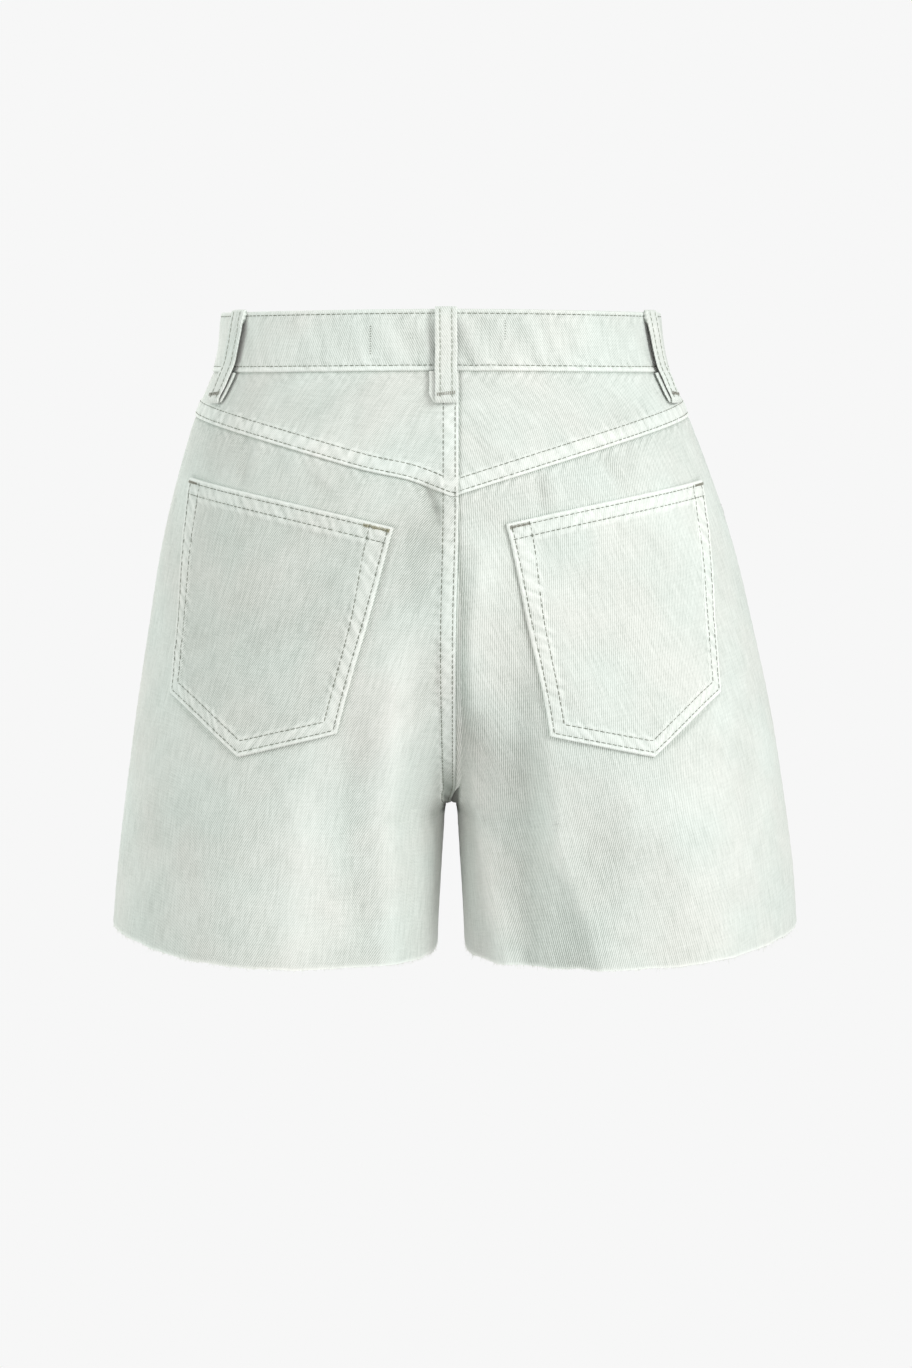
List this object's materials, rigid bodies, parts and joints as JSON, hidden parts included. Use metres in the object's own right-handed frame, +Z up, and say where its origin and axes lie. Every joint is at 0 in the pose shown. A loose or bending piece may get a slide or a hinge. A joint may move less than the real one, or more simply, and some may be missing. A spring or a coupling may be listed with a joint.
{
  "type": "denim shorts",
  "caption": "High-waisted pale denim shorts with a raw hem, a pointed back yoke, patch back pockets, belt loops and a zip fly, open and hollow as if worn.",
  "frame": {"origin": "middle of the waistband, where the wearer's waist holds the shorts up", "axes": "+Z up, the front faces -Y, and +X is the wearer's left"},
  "size_m": [0.4161, 0.2329, 0.3829],
  "materials": {
    "denim": "bleached cotton twill, matt",
    "thread": "polyester sewing thread",
    "zip_tape": "woven tape",
    "zip_metal": "satin",
    "button_metal": "satin nickel"
  },
  "bodies": {
    "root": {"back_panel_left": "denim", "back_panel_right": "denim", "back_yoke_left": "denim", "back_yoke_right": "denim", "back_pocket_left": "denim", "back_pocket_right": "denim", "front_panel_left": "denim", "front_panel_right": "denim", "pocket_facing_left": "denim", "pocket_facing_right": "denim", "waistband": "denim", "belt_loop_centre_back": "denim", "belt_loop_side_left": "denim", "belt_loop_side_right": "denim", "belt_loop_front_left": "denim", "belt_loop_front_right": "denim", "fly_shield": "denim", "zip_tape_left": "zip_tape", "zip_tape_right": "zip_tape", "zip_slider": "zip_metal", "waist_button": "button_metal", "button_tack": "button_metal"}
  },
  "joints": []
}
